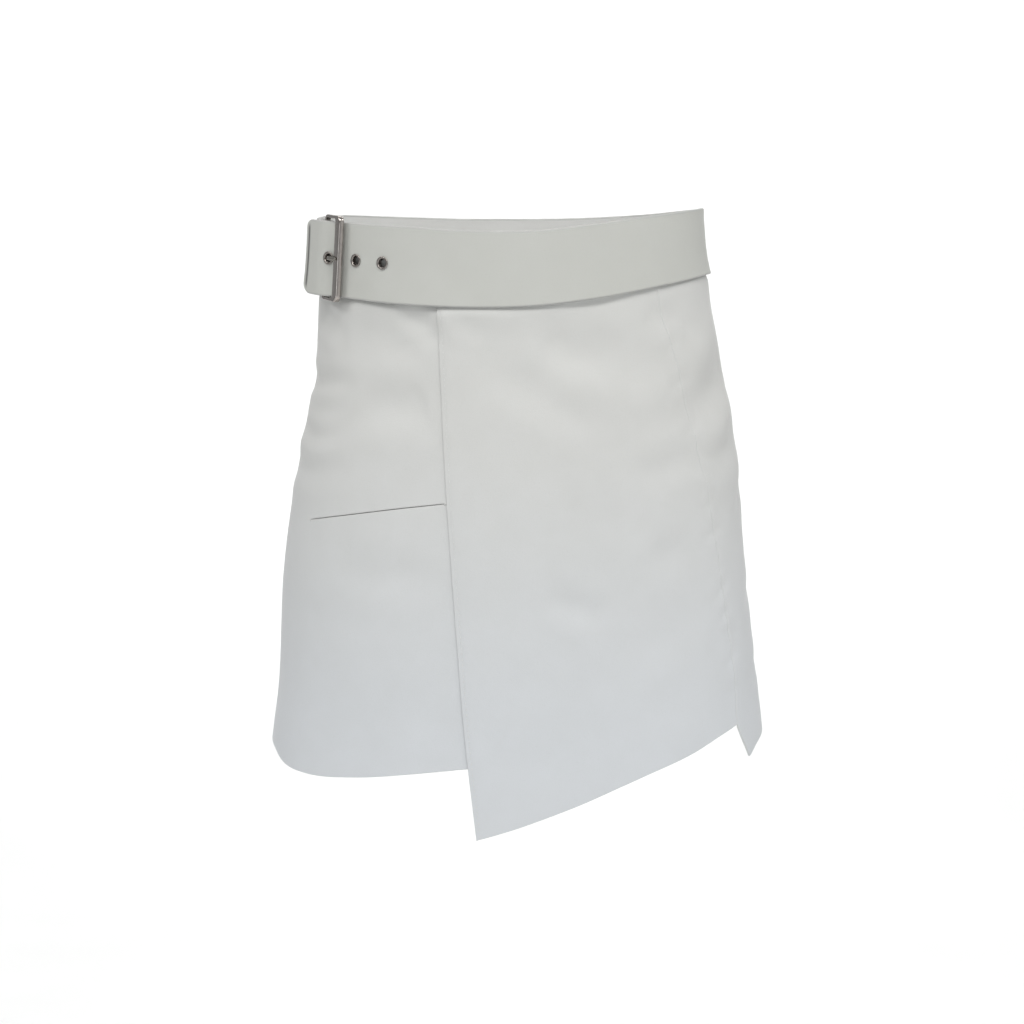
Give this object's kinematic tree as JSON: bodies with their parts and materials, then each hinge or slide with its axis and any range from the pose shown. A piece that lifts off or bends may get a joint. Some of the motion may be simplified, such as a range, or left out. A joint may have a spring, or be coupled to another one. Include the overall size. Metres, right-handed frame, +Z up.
{
  "type": "leather wrap kilt (mini skirt) with buckled belt",
  "caption": "White leather wrap kilt worn on the waist, with an asymmetric hem, a slit pocket and a wide belt closed by a rectangular pin buckle.",
  "frame": {"origin": "centre of the waist opening, at about the middle of the belt's height", "axes": "+Z up towards the waist, -Y towards the wearer's front, +X towards the wearer's left"},
  "size_m": [0.3536, 0.2634, 0.4263],
  "materials": {
    "kilt_leather": "smooth white nappa with a fine grain and a soft satin sheen",
    "belt_leather": "smooth off-white belt leather, semi-matt, with grey painted edges",
    "inner_leather": "matt flesh side of the leather behind the slit",
    "buckle_metal": "polished nickel, slightly warm",
    "eyelet_metal": "dark nickel"
  },
  "bodies": {
    "root": {"front_under_panel": "kilt_leather", "pocket_strip": "inner_leather", "front_wrap_panel": "kilt_leather", "back_panel": "kilt_leather", "belt_strap": "belt_leather", "eyelet_first": "eyelet_metal", "eyelet_second": "eyelet_metal", "eyelet_third": "eyelet_metal", "buckle_frame": "buckle_metal", "buckle_prong": "eyelet_metal"}
  },
  "joints": []
}
